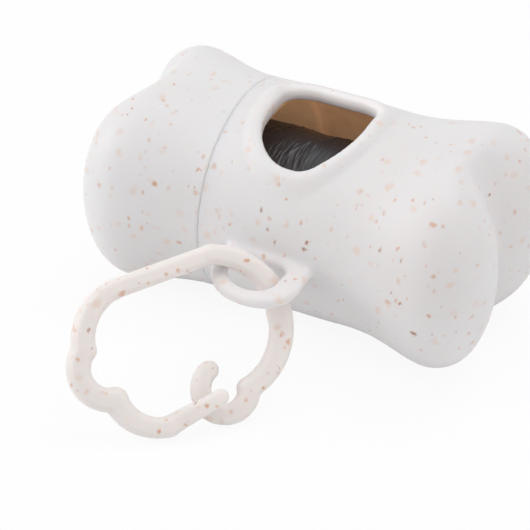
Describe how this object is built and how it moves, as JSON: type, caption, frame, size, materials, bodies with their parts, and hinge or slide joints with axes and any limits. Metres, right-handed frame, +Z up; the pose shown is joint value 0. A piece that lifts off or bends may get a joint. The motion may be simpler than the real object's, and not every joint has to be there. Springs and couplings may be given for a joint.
{
  "type": "dog poop bag dispenser",
  "caption": "Bone-shaped two-piece bag dispenser with a rounded triangular window, a bag roll on a tube core, and a springy clip through a lug.",
  "frame": {"origin": "middle of the barrel's axis, half way along the bone", "axes": "+X along the bone to the closed end of the body, +Z up out of the window, and the clip's lug points to -Y"},
  "size_m": [0.083, 0.0832, 0.043],
  "materials": {
    "shell": "satin",
    "clip": "satin",
    "film": "satin",
    "core": "matte"
  },
  "bodies": {
    "body": {"body_shell": "shell"},
    "cap": {"end_cap": "shell"},
    "clip": {"carry_clip": "clip"},
    "roll": {"roll_core": "core", "bag_roll": "film"}
  },
  "joints": [
    {"name": "cap_pull", "type": "slide", "parent": "body", "child": "cap", "axis": [-1, 0, 0], "range_m": [0, 0.03]},
    {"name": "roll_spin", "type": "hinge", "parent": "body", "child": "roll", "pos_m": [0, 0, -0.00214], "axis": [1, 0, 0], "continuous": true},
    {"name": "clip_swing", "type": "hinge", "parent": "body", "child": "clip", "pos_m": [0.00269, -0.02625, 0], "axis": [0.7059, 0.7083, 0], "range_deg": [0, 58]}
  ]
}
